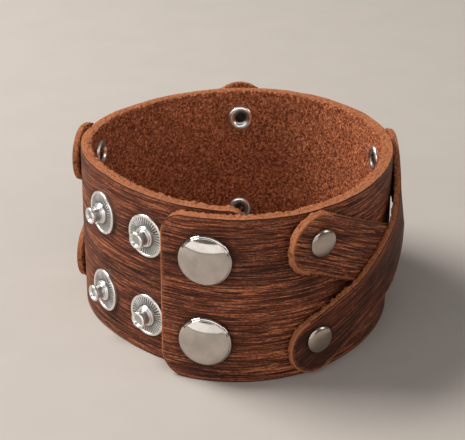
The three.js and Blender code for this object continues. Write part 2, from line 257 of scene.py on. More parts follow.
def endLid(points, uv, base, made, face, rimShares, side, tangent, size):
    # Closes an end by a grid of straight lines from the grain face to the flesh face, with nap
    rim = len(rimShares)
    lid = np.zeros((face, rim + 2), int)
    lid[:, 0] = base + np.arange(face)
    lid[:, -1] = base + face + rim + face - 1 - np.arange(face)
    lid[-1, 1:-1] = base + face + np.arange(rim)
    lid[0, 1:-1] = base + 2 * face + rim + np.arange(rim)[::-1]
    lid[1:-1, 1:-1] = made + np.arange((face - 2) * rim).reshape(face - 2, rim)
    first, last = points[lid[1:-1, 0]][:, None], points[lid[1:-1, -1]][:, None]
    between = first + (last - first) * rimShares[None, :, None]
    bumps = size["nap"] * (dice.normal(size=between.shape[:2]) + sheetShape["lidRise"])
    between[..., :2] += side * np.clip(bumps, *sheetShape["lidLimits"])[..., None] * tangent
    lidUv = np.repeat(uv[lid[1:-1, 0]][:, None], rim, 1)
    lidUv[..., 0] += side * rimShares * size["leather"]
    top, bottom = lid[:-1], lid[1:]
    quads = np.stack([top[:, :-1], bottom[:, :-1], bottom[:, 1:], top[:, 1:]], -1).reshape(-1, 4)
    return between.reshape(-1, 3), lidUv.reshape(-1, 2), quads if side < 0 else quads[:, ::-1]


def leatherSheet(name, size, outline, surface, seats, material, replaces):
    # Upright sections from low to high are carried along the leather. Near the outline the grain
    # and flesh faces draw together on a quarter circle, and the cut edge between them is rough.
    along, low, high, lowWaves, highWaves = outline
    outAt, insideAt, uvAt = surface
    share, depthShare, face, rimShares = sheetSection(size)
    rows, columns = len(along), len(share)
    s = np.repeat(along[:, None], columns, 1)
    z = low[:, None] + (high - low)[:, None] * share
    depth = np.broadcast_to(depthShare, s.shape)
    inside = np.maximum(insideAt(s, z), 0)
    grainInset, fleshInset = [edge * (1 - np.sqrt(1 - np.clip(1 - inside / edge, 0, 1) ** 2))
                              for edge in (size["grainRound"], size["fleshRound"])]
    onRim = (depth > 0) & (depth < 1)
    fleshSide = (depth >= 1).astype(float)

    # Nap: fine random grains, and coarser clumps where the flesh side meets the cut edge
    grains = size["nap"] * dice.normal(size=s.shape)
    shifted = z + sheetShape["clumpShift"] * depth
    clumps = size["nap"] * (softWaves(s, shifted, *sheetShape["broadClumps"])
                            + softWaves(s, z, *sheetShape["fineClumps"]))
    rough = np.clip((grains + clumps) * smoothStep(depth, *sheetShape["roughFrom"]),
                    -sheetShape["roughLimit"], sheetShape["roughLimit"])
    grainInset = grainInset * (depth < 1)
    deep = grainInset + depth * (size["leather"] - grainInset - fleshInset) + rough * fleshSide
    upwards = np.where(share > 0.5, 1.0, -1.0)
    wavy = z + lowWaves[:, None] * (1 - share) + highWaves[:, None] * share
    wavy = wavy + np.where(onRim, upwards * rough, 0)
    wavy = wavy + fleshSide * upwards * rough * (inside < sheetShape["roughReach"])

    # The cut edge leans out, most at the first end, so the flesh face reaches past the grain face
    lean = size["splay"] * depth * (1 - smoothStep(inside, 0, sheetShape["leanReach"]))
    lean = lean * (1 + softWaves(s, z, *sheetShape["leanWaves"]))
    lean = lean * (1 - sheetShape["leanLost"] * smoothStep(s - along[0], *sheetShape["leanFade"]))
    step = sheetShape["slopeStep"]
    leanAlong = -lean * (insideAt(s + step, z) - insideAt(s - step, z)) / (2 * step)
    leanUp = -lean * (insideAt(s, z + step) - insideAt(s, z - step)) / (2 * step)
    upTo = np.maximum(wavy + leanUp, 0)
    points = [onBand(s + leanAlong, upTo, outAt(s, z) - deep).reshape(-1, 3)]
    uv = [uvAt(s, z + np.where(onRim, upwards * depth * size["leather"], 0)).reshape(-1, 2)]
    faces = [gridFaces(rows, columns)]
    for row, side in ((0, -1.0), (rows - 1, 1.0)):
        made = sum(len(part) for part in points)
        lid = endLid(points[0], uv[0], row * columns, made, face, rimShares, side,
                     pathFrame(along[row])[1], size)
        for whole, part in zip((points, uv, faces), lid):
            whole.append(part)

    roundShare = np.where(depth > 0, fleshInset / size["fleshRound"],
                          sheetShape["grainCut"] * grainInset / size["grainRound"])
    cut = np.where(onRim, 1.0, smoothStep(roundShare, *sheetShape["cutMask"]))
    # What the finish reads at each point, with its value on the closed ends
    extra = sum(len(part) for part in points[1:])
    values = {key: np.concatenate([array.ravel(), np.full(extra, onLid)]) for key, array, onLid in (
        ("rimDistance", inside, 0.0), ("besideMetal", nearSeats(s, z, seats), 0.0),
        ("cutEdge", cut, 1.0), ("flesh", fleshSide, 0.0))}
    return meshPiece(name, np.concatenate(points), np.concatenate(faces), material, replaces,
                     np.concatenate(uv), values)


# Finishes

leatherLook = {
    "dark": (0.026, 0.0085, 0.0060),
    "brown": (0.085, 0.0195, 0.0098),
    "streak": (0.55, 0.182, 0.083),
    "worn": (0.34, 0.110, 0.047),
    "cut": (0.58, 0.212, 0.094),
    "cutShade": (0.30, 0.088, 0.036),
    "flesh": (0.420, 0.121, 0.052),
    "fleshLight": (0.86, 0.320, 0.150),
    "fleshDark": (0.170, 0.044, 0.0190),
    "gleam": 0.12,
    "napRelief": 7.0,
    "bumpDepth": 0.00020,
}
# Noises of the grain side: scales along and across the leather, which are waves to a millimetre,
# then shift, detail, roughness and distortion
grainNoises = {
    "wide": (0.035, 0.7, (1.0, 9.0), 4.0, 0.6, 0.3),
    "middle": (0.07, 2.4, (0.0, 0.0), 4.0, 0.6, 0.35),
    "fine": (0.14, 3.4, (7.0, 3.0), 3.0, 0.6, 0.2),
    "darker": (0.07, 2.2, (17.0, 31.0), 4.0, 0.6, 0.3),
    "thread": (0.035, 1.0, (41.0, 23.0), 2.0, 0.5, 0.3),
    "hair": (0.05, 1.4, (11.0, 53.0), 2.0, 0.5, 0.3),
    "crease": (0.04, 1.15, (29.0, 67.0), 2.0, 0.5, 0.3),
    "patch": (0.045, 0.11, (4.0, 2.0), 4.0, 0.6, 0.4),
    "pores": (1.4, 2.8, (0.0, 0.0), 4.0, 0.65, 0.0),
    "rubbed": (0.5, 0.7, (0.0, 0.0), 4.0, 0.6, 0.0),
}


def nodeTools(material):
    # Short calls that add a node, link or set its inputs, and give back its output
    material.use_nodes = True
    tree = material.node_tree
    tree.nodes.clear()

    def add(kind, inputs=None, **settings):
        node = tree.nodes.new(kind)
        for key, value in settings.items():
            setattr(node, key, value)
        for key, value in (inputs or {}).items():
            if isinstance(value, bpy.types.NodeSocket):
                tree.links.new(value, node.inputs[key])
            else:
                node.inputs[key].default_value = value
        return node

    def noise(vector, scale, detail=4.0, roughness=0.6, distortion=0.0):
        inputs = {"Vector": vector, "Scale": scale, "Detail": detail, "Roughness": roughness,
                  "Distortion": distortion}
        return add("ShaderNodeTexNoise", inputs).outputs["Fac"]

    def stretch(vector, x, y, z=1.0, shift=(0.0, 0.0, 0.0)):
        inputs = {"Vector": vector, "Scale": (x, y, z), "Location": shift}
        return add("ShaderNodeMapping", inputs).outputs["Vector"]

    def ramp(value, low, high):
        # Softly from 0 at low to 1 at high
        return add("ShaderNodeMapRange", {"Value": value, "From Min": low, "From Max": high},
                   interpolation_type="SMOOTHSTEP").outputs["Result"]

    def mix(factor, first, second):
        first = (*first, 1) if isinstance(first, tuple) else first
        second = (*second, 1) if isinstance(second, tuple) else second
        return add("ShaderNodeMix", {0: factor, 6: first, 7: second}, data_type="RGBA").outputs[2]

    def work(operation, first, second=0.0, third=0.0):
        inputs = {0: first, 1: second, 2: third}
        return add("ShaderNodeMath", inputs, operation=operation).outputs[0]

    def scaled(value, factor, added=0.0):
        return work("MULTIPLY_ADD", value, factor, added)

    return add, noise, stretch, ramp, mix, work, scaled


def leatherMaterial(name, seed, streakLevel, darkLevel):
    # Grain side: dark brown with fine lighter streaks along the leather, darker patches and a worn
    # rim. Flesh side: short rusty nap. Cut edge: rough tan.
    look = leatherLook
    material = bpy.data.materials.new(name)
    add, noise, stretch, ramp, mix, work, scaled = nodeTools(material)
    pattern = add("ShaderNodeUVMap", uv_map="pattern").outputs["UV"]
    place = add("ShaderNodeTexCoord").outputs["Object"]
    shifted = stretch(pattern, 1.0, 1.0, 1.0, (seed, seed * 1.7, 0.0))
    rim, cutEdge, flesh, beside = [add("ShaderNodeAttribute", attribute_name=key).outputs["Fac"]
                                   for key in ("rimDistance", "cutEdge", "flesh", "besideMetal")]

    def ridge(value, width):
        # Thin lines where a noise passes its middle value
        return ramp(work("ABSOLUTE", work("SUBTRACT", value, 0.5)), width, 0.0)

    # Grain side: light and dark lines of several widths, gathered into lighter and darker patches
    grain = {key: noise(stretch(shifted, x, y, 1.0, (*shift, 0.0)), 1.0, *kind)
             for key, (x, y, shift, *kind) in grainNoises.items()}
    pores = grain["pores"]
    lines = scaled(ramp(grain["middle"], 0.57, 0.60), 0.6)
    lines = scaled(ramp(grain["fine"], 0.56, 0.60), 0.45, lines)
    lines = scaled(ridge(grain["thread"], 0.034), 1.1, lines)
    lines = scaled(ridge(grain["hair"], 0.03), 0.9, lines)
    for key, low, high, factor, least in (("wide", 0.38, 0.58, 0.5, 0.5),
                                          ("patch", 0.66, 0.38, 0.5, 0.5),
                                          ("pores", 0.40, 0.60, 0.75, 0.3)):
        lines = scaled(lines, scaled(ramp(grain[key], low, high), factor, least))
    lines = work("MINIMUM", scaled(lines, streakLevel), 1.0)
    base = mix(scaled(ramp(grain["patch"], 0.44, 0.62), darkLevel), look["brown"], look["dark"])
    for mask, factor in ((ramp(grain["darker"], 0.52, 0.56), 0.85),
                         (ridge(grain["crease"], 0.045), 0.85),
                         (ramp(pores, 0.50, 0.60), 0.35)):
        base = mix(scaled(mask, factor), base, look["dark"])
    base = mix(lines, base, look["streak"])
    worn = ramp(work("ADD", rim, scaled(grain["rubbed"], 1.6, -0.8)), 1.2, 0.3)
    base = mix(scaled(worn, scaled(ramp(pores, 0.35, 0.65), 0.6, 0.05)), base, look["worn"])
    # Darker beside each snap and rivet: some dirt, and painted shade where the metal meets the
    # leather
    base = mix(scaled(beside, scaled(pores, 0.8, 0.2)), base, look["dark"])
    # The arris is dark along the rims and worn bright at the ends
    ends = ramp(add("ShaderNodeSeparateXYZ", {"Vector": pattern}).outputs["X"], 0.9, 0.4)
    arris = ramp(rim, 0.40, 0.18)
    base = mix(scaled(scaled(arris, 0.85), work("SUBTRACT", 1.0, ends)), base, look["dark"])
    base = mix(scaled(scaled(arris, 0.55), ends), base, look["cut"])

    # Flesh side and cut edge
    napBroad = noise(place, 260.0, 4.0, 0.6)
    napFine, napMiddle = noise(place, 2900.0, 3.0, 0.7), noise(place, 1550.0, 4.0, 0.65, 0.5)
    nap = scaled(napMiddle, 0.6, scaled(napFine, 0.4))
    napColour = mix(ramp(nap, 0.50, 0.59), look["flesh"], look["fleshLight"])
    napColour = mix(ramp(nap, 0.49, 0.42), napColour, look["fleshDark"])
    napColour = mix(scaled(ramp(napBroad, 0.5, 0.72), 0.3), napColour, look["fleshDark"])
    cutColour = mix(ramp(nap, 0.50, 0.38), look["cut"], look["cutShade"])
    cutColour = mix(scaled(ramp(napBroad, 0.48, 0.7), 0.3), cutColour, look["cutShade"])
    edgeMask = ramp(work("ADD", cutEdge, scaled(noise(place, 1100.0, 2.0), 0.7, -0.35)), 0.35, 0.62)
    colour = mix(edgeMask, mix(flesh, base, napColour), cutColour)

    # Roughness and relief: the grain side is smoother, most at its worn rim
    soft = work("MAXIMUM", flesh, edgeMask)
    gloss = scaled(ramp(pores, 0.35, 0.65), 0.2, 0.46)
    gloss = work("SUBTRACT", gloss, scaled(ramp(rim, 0.6, 0.2), 0.2))
    roughness = scaled(soft, 0.4, gloss)
    grainRelief = scaled(pores, 0.35, work("SUBTRACT", grain["middle"], grain["darker"]))
    grainRelief = scaled(grain["fine"], 0.6, grainRelief)
    relief = add("ShaderNodeMix", {0: soft, 2: grainRelief, 3: scaled(nap, look["napRelief"])},
                 data_type="FLOAT").outputs[0]
    bump = add("ShaderNodeBump", {"Height": relief, "Strength": 1.0,
                                  "Distance": look["bumpDepth"]})
    shader = add("ShaderNodeBsdfPrincipled", {
        "Base Color": colour, "Roughness": roughness, "Normal": bump.outputs["Normal"],
        "Specular IOR Level": look["gleam"]})
    add("ShaderNodeOutputMaterial", {"Surface": shader.outputs[0]})
    return material


def nickelMaterial(name, roughLow, roughHigh, tint):
    # Plated nickel: cloudy gloss, hair-fine scratches, small dull marks and painted shade in
    # grooves
    material = bpy.data.materials.new(name)
    add, noise, stretch, ramp, mix, work, scaled = nodeTools(material)

    def shaded(level):
        # The tint at a share of its lightness
        return tuple(level * part for part in tint)

    place = add("ShaderNodeTexCoord").outputs["Object"]
    cloud = noise(place, 260.0, 4.0, 0.6)
    hair = noise(stretch(place, 420.0, 420.0, 9000.0), 1.0, 3.0, 0.7, 0.4)
    marks = noise(place, 1900.0, 2.0, 0.5)
    paintedShade = add("ShaderNodeAttribute", attribute_name="paintedShade").outputs["Fac"]
    colour = mix(ramp(cloud, 0.35, 0.7), tint, shaded(0.8))
    colour = mix(scaled(ramp(marks, 0.62, 0.74), 0.25), colour, shaded(0.6))
    # Painted shade: near black in grooves, hollows and recesses
    colour = mix(paintedShade, colour, shaded(0.06))
    uneven = scaled(ramp(cloud, 0.3, 0.7), roughHigh - roughLow, roughLow)
    roughness = scaled(ramp(hair, 0.55, 0.75), 0.08, uneven)
    bump = add("ShaderNodeBump", {"Height": scaled(hair, 0.5, cloud), "Strength": 0.12,
                                  "Distance": 0.00003})
    shader = add("ShaderNodeBsdfPrincipled", {
        "Base Color": colour, "Roughness": roughness, "Normal": bump.outputs["Normal"],
        "Metallic": 1.0})
    add("ShaderNodeOutputMaterial", {"Surface": shader.outputs[0]})
    return material


bandLeather = leatherMaterial("bandLeather", seed=3.0, streakLevel=1.0, darkLevel=0.75)
overLeather = leatherMaterial("overStrapLeather", seed=57.0, streakLevel=0.5, darkLevel=1.0)
underLeather = leatherMaterial("underStrapLeather", seed=91.0, streakLevel=1.15, darkLevel=0.45)
capNickel = nickelMaterial("capNickel", roughLow=0.05, roughHigh=0.10, tint=(0.585, 0.53, 0.485))
studNickel = nickelMaterial("studNickel", roughLow=0.25, roughHigh=0.34, tint=(0.94, 0.92, 0.90))
rivetNickel = nickelMaterial("rivetNickel", roughLow=0.13, roughHigh=0.22, tint=(0.46, 0.385, 0.33))
backNickel = nickelMaterial("backNickel", roughLow=0.24, roughHigh=0.34, tint=(0.92, 0.90, 0.88))
print("finishes made")

# Band


def cornerInset(fromEnd, radius):
    # A round corner draws the edges in by its radius less the height of its quarter circle
    share = np.clip(1 - fromEnd / radius, 0, 1)
    return radius * (1 - np.sqrt(1 - share ** 2))


def bandInside(s, z):
    # Distance inside a rectangle with round corners, a radius at each end
    radius = np.where(s < bandLength / 2, band["outerCorner"], band["innerCorner"])
    fromEnd = np.minimum(s, bandLength - s)
    fromRim = np.minimum(z, band["height"] - z)
    inCorner = (fromEnd < radius) & (fromRim < radius)
    fromArc = radius - np.hypot(radius - fromEnd, radius - fromRim)
    return np.where(inCorner, fromArc, np.minimum(fromEnd, fromRim))


bandSeats = [(snap["capToEnd"], height, *snap["capSeat"]) for height in snapHeights.values()]
bandSeats += [(firstStud - column * snap["pitch"], height, *snap["studSeat"])
              for column in range(snap["columns"]) for height in snapHeights.values()]


def bandOut(s, z):
    # The grain face: soft waves, sunk a little and pressed in round the snaps
    return softWaves(s, z, *band["faceWaves"]) - band["sunk"] - pressed(s, z, bandSeats)


def bandPattern(s, z):
    # The grain runs straight along the band
    return np.stack([s, z], -1)


# Rows crowd where the round corners are steep, and again close to the ends
cornerRows = band["outerCorner"] * (1 - np.cos(np.linspace(0, math.pi / 2, 20)))[1:]
cornerRows = cornerRows[cornerRows > nearEdge[-1] + 0.1]
evenRows = spread(band["evenRowsFrom"], bandLength - band["evenRowsFrom"], band["rowStep"])
bandAlong = np.unique(np.concatenate([nearEdge, cornerRows, bandLength - nearEdge,
                                      bandLength - cornerRows, evenRows]).round(5))
bandDraw = (cornerInset(bandAlong, band["outerCorner"])
            + cornerInset(bandLength - bandAlong, band["innerCorner"]))
bandOutline = (bandAlong, bandDraw, band["height"] - bandDraw,
               band["lowRise"] + softWaves(bandAlong, 0, *band["lowWaves"]),
               softWaves(bandAlong, 0, *band["highWaves"]))
cuffBand = leatherSheet("band", band, bandOutline, (bandOut, bandInside, bandPattern), bandSeats,
                        bandLeather, ["cuff_band"])
print("band made:", len(cuffBand.data.polygons), "faces")

# Straps

strap = {
    "height": 13.0,
    "leather": 1.52,
    "gap": 0.14,
    "lift": 1.62,
    "liftPower": 1.5,
    "crossMargin": 0.3,
    "crossRamp": 14.0,
    "farCurl": 0.6,
    "curlFrom": 2.0,
    "under": {"curl": 1.9, "reach": 1.0, "splay": 0.5, "seed": 31},
    "over": {"curl": 0.9, "reach": 0.3, "splay": 0.12, "seed": 61},
    "capToFirst": 24.0,
    "lastToStud": 26.8,
    "rivetSeat": (3.1, 0.16),
    "grainRound": 0.22,
    "fleshRound": 0.4,
    "nap": 0.09,
    "rimSteps": 7,
    "rowStep": 0.36,
    "columnStep": 0.8,
    # Height, length and octaves of the soft waves
    "faceWaves": (0.07, 22.0, 3),
    "lowWaves": (0.09, 8.0, 3),
    "highWaves": (0.09, 9.0, 3),
}
# A row for each rivet station: share of the straps' run, heights of the upper and lower rivets,
# and heights of the upper and lower middle lines, as shares of the band's height
stations = (
    (0.0, 0.826, 0.232, 0.826, 0.197),
    (0.339, 0.832, 0.182, 0.832, 0.189),
    (0.676, 0.821, 0.176, 0.854, 0.189),
    (1.0, 0.842, 0.182, 0.842, 0.189),
)
lastStud = firstStud - (snap["columns"] - 1) * snap["pitch"]
firstRivet = snap["capToEnd"] + strap["capToFirst"]
rivetRun = lastStud - strap["lastToStud"] - firstRivet


def strapLine(startsLow):
    # Corner at each station, by turns near the lower and the upper edge: along, height and rivet
    # height
    corners = []
    for index, (run, upperRivet, lowerRivet, upper, lower) in enumerate(stations):
        low = (index % 2 == 0) == startsLow
        corners.append((firstRivet + rivetRun * run, band["height"] * (lower if low else upper),
                        band["height"] * (lowerRivet if low else upperRivet)))
    return np.array(corners)


underLine = strapLine(False)
overLine = strapLine(True)


def alongLine(line, s, z):
    # Nearest place on the middle line: distance from it, length along it and signed side
    best, length, side, travelled = np.full(np.shape(s), 1e9), 0.0 * s, 0.0 * s, 0.0
    for start, end in zip(line[:-1, :2], line[1:, :2]):
        run = np.hypot(*(end - start))
        unit = (end - start) / run
        reach = (s - start[0]) * unit[0] + (z - start[1]) * unit[1]
        across = (z - start[1]) * unit[0] - (s - start[0]) * unit[1]
        held = np.clip(reach, 0, run)
        distance = np.hypot(reach - held, across)
        nearer = distance < best
        best = np.where(nearer, distance, best)
        length = np.where(nearer, travelled + reach, length)
        side = np.where(nearer, across, side)
        travelled += run
    return best, length, side


def strapEdges(line, along):
    # Lowest and highest place within half a width of the middle line: round at its corners and
    # straight beside its runs
    radius = strap["height"] / 2
    low, high = np.full(along.shape, 1e9), np.full(along.shape, -1e9)
    for corner in line:
        half = np.sqrt(np.maximum(radius ** 2 - (along - corner[0]) ** 2, 0))
        near = np.abs(along - corner[0]) < radius
        low = np.where(near, np.minimum(low, corner[1] - half), low)
        high = np.where(near, np.maximum(high, corner[1] + half), high)
    for before, corner in zip(line[:-1], line[1:]):
        run, rise = corner[:2] - before[:2]
        shift, drop = radius * rise / np.hypot(run, rise), radius * run / np.hypot(run, rise)
        middle = before[1] + (along - before[0]) * rise / run
        above = (along >= before[0] - shift) & (along <= corner[0] - shift)
        below = (along >= before[0] + shift) & (along <= corner[0] + shift)
        high = np.where(above, np.maximum(high, middle + drop + shift * rise / run), high)
        low = np.where(below, np.minimum(low, middle - drop - shift * rise / run), low)
    return low, high


def strapOut(line, s, z):
    # Height of a strap's inner face over the band: its gap, its curl past each end rivet as a
    # square over twice the ring's radius, and for the upper strap a soft lift over the other
    resting = strap["gap"]
    firstCurl = strap["under" if line is underLine else "over"]["curl"]
    for curl, past in ((firstCurl, line[0, 0] - s), (strap["farCurl"], s - line[-1, 0])):
        bent = np.maximum(0, strap["curlFrom"] + past)
        resting = resting + curl * bent ** 2 / (2 * band["ringRadius"])
    if line is underLine:
        return resting
    clear = alongLine(underLine, s, z)[0] - strap["height"] / 2 - strap["crossMargin"]
    left = 1 - np.clip(clear / strap["crossRamp"], 0, 1)
    return resting + strap["lift"] * left ** strap["liftPower"]


def strapSheet(name, line, own, material, replaces):
    # The leather reaches further past its first rivet, so its outline has its own end corner
    outline = line.copy()
    outline[0, 0] -= own["reach"]
    radius = strap["height"] / 2
    turn = np.radians(np.linspace(1.5, 90, 22))
    start, end = outline[0, 0], outline[-1, 0]
    evenRows = spread(start, end, strap["rowStep"])[1:-1]
    along = np.concatenate([start - radius * np.cos(turn), evenRows,
                            end + radius * np.cos(turn[::-1])])
    low, high = strapEdges(outline, along)
    seats = [(corner[0], corner[2], *strap["rivetSeat"]) for corner in line]

    def outAt(s, z):
        # The grain face: the leather over its inner face, in soft waves, pressed in by the rivets
        raised = strapOut(line, s, z) + strap["leather"]
        return raised + softWaves(s, z, *strap["faceWaves"], own["seed"]) - pressed(s, z, seats)

    def insideAt(s, z):
        # Half the width less the distance from the middle line
        return radius - alongLine(outline, s, z)[0]

    def uvAt(s, z):
        # The grain runs along the strap
        return np.stack(alongLine(outline, s, z)[1:], -1)

    lowWaves = softWaves(along, 0, *strap["lowWaves"], own["seed"] + 1)
    highWaves = softWaves(along, 0, *strap["highWaves"], own["seed"] + 2)
    size = dict(strap, splay=own["splay"])
    return leatherSheet(name, size, (along, low, high, lowWaves, highWaves),
                        (outAt, insideAt, uvAt), seats, material, replaces)


underStrap = strapSheet("strapUnder", underLine, strap["under"], underLeather, ["strap_under"])
overStrap = strapSheet("strapOver", overLine, strap["over"], overLeather, ["strap_over"])
print("straps made:", len(underStrap.data.polygons), len(overStrap.data.polygons), "faces")

# Snaps and rivets, turned on their seats


def seat(along, height, out=0.0):
    # Place on the leather, with the directions along it and out of it
    point, tangent, normal = pathFrame(np.array(along))
    middle = np.array([*(point + normal * out), height])
    return middle, np.array([*tangent, 0.0]), np.array([*normal, 0.0])


def softened(corners, steps=6):
    # Corners (radius, out, round) are cut back along both sides and bridged by a parabola, and the
    # straights between get a point close to each end, which keeps their shading flat
    leastRound, mostOfRun, shortGap, nearEnd = 0.03, 0.46, 0.2, 0.04
    spots = np.array([corner[:2] for corner in corners], float)
    runs = np.linalg.norm(np.diff(spots, axis=0), axis=1)
    share = np.linspace(0, 1, steps)[:, None]
    parts = [spots[:1]]
    for index in range(1, len(spots) - 1):
        cutBack = corners[index][2] if len(corners[index]) > 2 else leastRound
        before, corner, after = spots[index - 1:index + 2]
        runIn, runOut = runs[index - 1], runs[index]
        start = corner + (before - corner) / runIn * min(cutBack, mostOfRun * runIn)
        end = corner + (after - corner) / runOut * min(cutBack, mostOfRun * runOut)
        parts.append((1 - share) ** 2 * start + 2 * share * (1 - share) * corner + share ** 2 * end)
    parts.append(spots[-1:])
    filled = [parts[0]]
    for before, after in zip(parts[:-1], parts[1:]):
        gap = np.linalg.norm(after[0] - before[-1])
        if gap > shortGap:
            nearEnds = np.array([nearEnd / gap, 1 - nearEnd / gap])[:, None]
            filled.append(before[-1] + (after[0] - before[-1]) * nearEnds)
        filled.append(after)
    return np.concatenate(filled)


def turnedPiece(name, place, profile, sides, material, replaces, relief=None, shade=None):
    # Profile (radius, out) carried round: seat + along radius cos + upwards radius sin + outwards
    # out. The shade, from 0 to 1, is painted shade that darkens hollows and grooves.
    origin, tangent, normal = place
    turn = np.arange(sides) / sides * 2 * math.pi
    radius, out = np.repeat(profile[:, :1], sides, 1), np.repeat(profile[:, 1:], sides, 1)
    paintedShading = 0 * out if shade is None else shade(radius, out, turn)
    if relief is not None:
        out = out + relief(radius, out, turn)
    upwards = np.array([0.0, 0.0, 1.0])
    points = (origin + tangent * (radius * np.cos(turn))[..., None]
              + upwards * (radius * np.sin(turn))[..., None] + normal * out[..., None])
    return meshPiece(name, points, gridFaces(len(profile), sides), material, replaces,
                     values={"paintedShade": paintedShading}, weld=True)


# Rows of a profile are radius, out and round
snapShape = {
    "capRadius": 5.72,
    "capTop": 1.78,
    "capDome": 10.6,
    "rollWidth": 0.42,
    "rollDrop": 0.55,
    "rollFrom": 28,
    "capSides": 96,
    "capSkirt": ((5.72, -0.25, 0.1), (5.3, -0.8, 0.1), (2.55, -0.8), (2.55, -3.05), (2.15, -3.05),
                 (2.15, -0.8), (0, -0.8)),
    # Recessed tip, head, neck, stepped hub, serrated flange and its smooth rim
    "stud": ((0, 2.86), (0.98, 2.86, 0.1), (1.14, 3.06, 0.08), (1.3, 3.38, 0.07), (1.58, 3.42, 0.1),
             (1.84, 3.20, 0.12), (1.86, 2.72, 0.1), (1.58, 2.42, 0.1), (1.54, 1.5, 0.15),
             (1.68, 1.26, 0.1), (1.94, 1.2, 0.1), (2.02, 0.92, 0.1), (2.22, 0.86, 0.12),
             (2.32, 0.6, 0.1), (2.46, 0.5, 0.06), (2.56, 0.44, 0.04), (4.16, 0.32, 0.04),
             (4.26, 0.47, 0.05), (4.66, 0.46, 0.12), (4.82, 0.3, 0.1), (4.8, -0.35, 0.05),
             (0, -0.35)),
    "studSink": 0.26,
    "plainSides": 48,
    "serrations": 38,
    "sidesToRidge": 6,
    "ridgeHeight": 0.10,
    "ridgeTop": 2,
    "ridgeDrop": 1.3,
    # Radii where the serrated flange begins and ends, and the height above which it lies
    "flangeFrom": (2.48, 2.58),
    "flangeTo": (4.12, 4.24),
    "flangeOver": -0.2,
    # Painted shade between the ridges, at the hub's foot, round the neck and in the tip's recess
    "shadeBetween": (0.25, 0.6),
    "foot": {"from": (2.24, 2.36), "to": (2.56, 2.8), "shadeLevel": 0.85},
    "neck": {"within": 1.9, "from": (0.9, 1.1), "to": (2.1, 2.4), "shadeLevel": 0.5},
    "tip": {"within": 1.1, "over": 2.4, "shadeLevel": 0.45},
    # Flat back inside the band: a shallow dish in a rounded disc
    "back": ((0, -2.4), (4.35, -2.4, 0.05), (4.4, -2.9, 0.15), (4.05, -3.36, 0.2),
             (3.2, -3.33, 0.3), (1.9, -3.26, 0.2), (1.2, -3.18, 0.2), (0, -3.16)),
    "backSides": 72,
    "socket": ((2.75, -2.5), (4.95, -2.5), (5.0, -3.0, 0.1), (3.1, -3.06, 0.1), (2.75, -2.9, 0.1),
               (2.75, -2.5)),
    "socketSides": 64,
}


def snapCapProfile():
    # Dome: the top less radius squared over twice the dome's radius, over a rolled edge and a tube
    radius = np.linspace(0, snapShape["capRadius"] - snapShape["rollWidth"], 36)
    dome = snapShape["capTop"] - radius ** 2 / (2 * snapShape["capDome"])
    turn = np.linspace(math.radians(snapShape["rollFrom"]), math.pi / 2, 12)[1:]
    outwards = (np.sin(turn) - math.sin(turn[0])) / (1 - math.sin(turn[0]))
    down = (np.cos(turn[0]) - np.cos(turn)) / np.cos(turn[0])
    roll = np.stack([radius[-1] + snapShape["rollWidth"] * outwards,
                     dome[-1] - 0.05 - snapShape["rollDrop"] * down], -1)
    skirt = softened([roll[-1], *snapShape["capSkirt"]])
    return np.concatenate([np.stack([radius, dome], -1), roll, skirt[1:]])


def ridgeAt(turn):
    # A cosine's size, round on top and sharp below
    return np.abs(np.cos(snapShape["serrations"] * turn / 2))


def within(value, start, end):
    # Softly from 0 to 1 over the start's pair and back to 0 over the end's pair
    return smoothStep(value, *start) * (1 - smoothStep(value, *end))


def serrationWindow(radius, out):
    # 1 on the flange between the hub and the smooth rim
    onFlange = within(radius, snapShape["flangeFrom"], snapShape["flangeTo"])
    return onFlange * (out > snapShape["flangeOver"])


def serrated(radius, out, turn):
    # Radial ridges on the flange, lowered so that they cut in more than they stand out
    ridge = snapShape["ridgeTop"] * ridgeAt(turn) - snapShape["ridgeDrop"]
    return snapShape["ridgeHeight"] * serrationWindow(radius, out) * ridge


def studShade(radius, out, turn):
    # Painted shade between the ridges, round the hub's foot and the neck, and darker in the tip's
    # recess
    foot, neck, tip = snapShape["foot"], snapShape["neck"], snapShape["tip"]
    between = smoothStep(1 - ridgeAt(turn), *snapShape["shadeBetween"])
    atFoot = within(radius, foot["from"], foot["to"]) * (out > snapShape["flangeOver"])
    onNeck = (radius < neck["within"]) * within(out, neck["from"], neck["to"])
    inTip = (radius < tip["within"]) * (out > tip["over"])
    shadeLevel = np.maximum(serrationWindow(radius, out) * between, foot["shadeLevel"] * atFoot)
    return np.maximum(shadeLevel, np.maximum(neck["shadeLevel"] * onNeck, tip["shadeLevel"] * inTip))


capProfile = snapCapProfile()
studProfile = softened(snapShape["stud"]) - np.array([0, snapShape["studSink"]])
snapBackProfile, socketProfile = softened(snapShape["back"]), softened(snapShape["socket"])
for row, height in snapHeights.items():
    capPlace = seat(snap["capToEnd"], height)
    turnedPiece("snapCap_" + row, capPlace, capProfile, snapShape["capSides"],
                capNickel, ["snap_cap_" + row])
    turnedPiece("snapSocket_" + row, capPlace, socketProfile, snapShape["socketSides"],
                studNickel, ["snap_socket_" + row])
    for column in range(snap["columns"]):
        name = str(column + 1) + "_" + row
        place = seat(firstStud - column * snap["pitch"], height)
        sides = snapShape["sidesToRidge"] * snapShape["serrations"]
        relief, shade = serrated, studShade
        # The first column is closed under the caps, a layer further in, and stays plain
        if column == 0:
            place = (capPlace[0] - capPlace[2] * spiralPitch, capPlace[1], capPlace[2])
            sides, relief, shade = snapShape["plainSides"], None, None
        turnedPiece("snapStud_" + name, place, studProfile, sides, studNickel,
                    ["snap_stud_" + name], relief, shade)
        turnedPiece("snapBack_" + name, place, snapBackProfile, snapShape["backSides"],
                    studNickel, ["snap_post_" + name])

